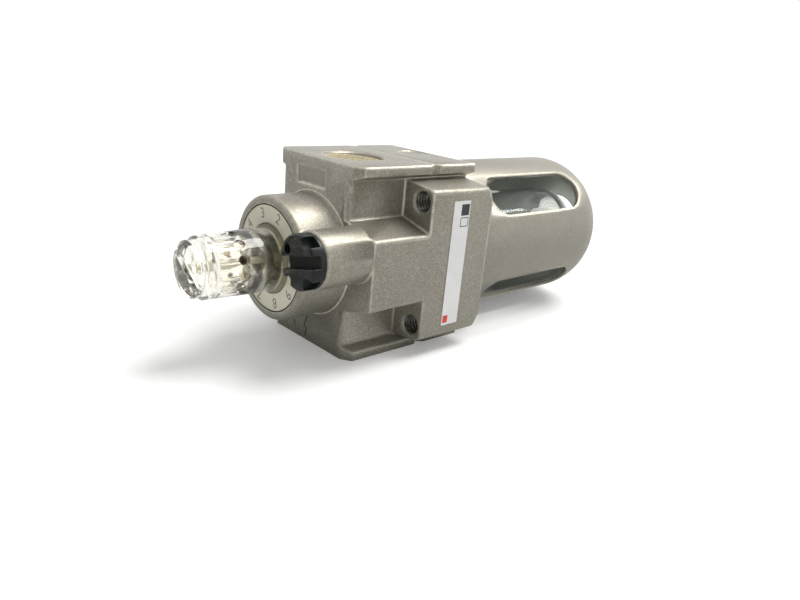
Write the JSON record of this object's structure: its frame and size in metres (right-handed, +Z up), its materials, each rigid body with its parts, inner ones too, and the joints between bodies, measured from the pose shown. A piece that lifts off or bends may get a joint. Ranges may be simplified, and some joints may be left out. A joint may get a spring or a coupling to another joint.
{
  "type": "air line lubricator",
  "caption": "Air line lubricator: cast body with pipe ports, sight dome that sets the drip rate, oil fill plug and a clear bowl in a windowed metal guard.",
  "frame": {"origin": "where the axis of the two ports meets the axis of the bowl", "axes": "+Z up through the sight dome, +X along the air line from inlet to outlet, -Y to the front face with the label"},
  "size_m": [0.04, 0.0405, 0.1169],
  "materials": {
    "cast_body": "satin champagne-grey metallic paint on a die casting",
    "guard_metal": "satin champagne-grey metallic paint",
    "dial": "matt beige-grey moulded plate with engraved numbers",
    "black_plastic": "black moulded plastic, slightly glossy",
    "clear_dome": "clear polycarbonate, glossy",
    "needle": "ivory plastic, glossy",
    "clear_bowl": "clear polycarbonate, glossy",
    "rubber": "black nitrile rubber",
    "brass": "turned brass",
    "sintered": "sintered bronze, dull",
    "tube": "milky nylon tube",
    "steel": "stainless steel",
    "bush": "grey moulded plastic",
    "label": "white paper-faced film, bare"
  },
  "bodies": {
    "body": {"body_casting": "cast_body", "dial_plate": "dial", "dome_gasket": "rubber", "dome_retainer": "black_plastic", "drip_nozzle": "brass", "siphon_holder": "black_plastic", "holder_o_ring": "rubber", "siphon_check_ball": "steel", "siphon_tube": "tube", "siphon_strainer": "sintered", "pressure_check_ball": "steel", "damper": "rubber", "damper_retainer": "bush", "front_label": "label"},
    "dome": {"sight_dome": "clear_dome", "adjusting_needle": "needle", "dome_o_ring": "rubber"},
    "plug_lift": {"plug_o_ring": "rubber"},
    "plug": {"fill_plug": "black_plastic"},
    "bowl_lift": {"bowl_o_ring": "rubber"},
    "bowl_unit": {"bowl_guard": "guard_metal", "bowl": "clear_bowl", "bowl_clip_ring": "steel"}
  },
  "joints": [
    {"name": "dome_turn", "type": "hinge", "parent": "body", "child": "dome", "pos_m": [0, 0, 0.0206], "axis": [0, 0, 1], "range_deg": [0, 300]},
    {"name": "plug_rise", "type": "slide", "parent": "body", "child": "plug_lift", "axis": [0, 0, 1], "range_m": [0, 0.00625]},
    {"name": "plug_turn", "type": "hinge", "parent": "plug_lift", "child": "plug", "pos_m": [0.0035, -0.01455, 0.0205], "axis": [0, 0, 1], "range_deg": [0, 1800]},
    {"name": "bowl_drop", "type": "slide", "parent": "body", "child": "bowl_lift", "axis": [0, 0, -1], "range_m": [0, 0.009]},
    {"name": "bowl_turn", "type": "hinge", "parent": "bowl_lift", "child": "bowl_unit", "pos_m": [0, 0, -0.0185], "axis": [0, 0, -1], "range_deg": [0, 2160]}
  ],
  "couplings": [
    {"joint": "plug_turn", "follows": "plug_rise", "rad_per_m": 5026.5},
    {"joint": "bowl_turn", "follows": "bowl_drop", "rad_per_m": 4188.7}
  ]
}
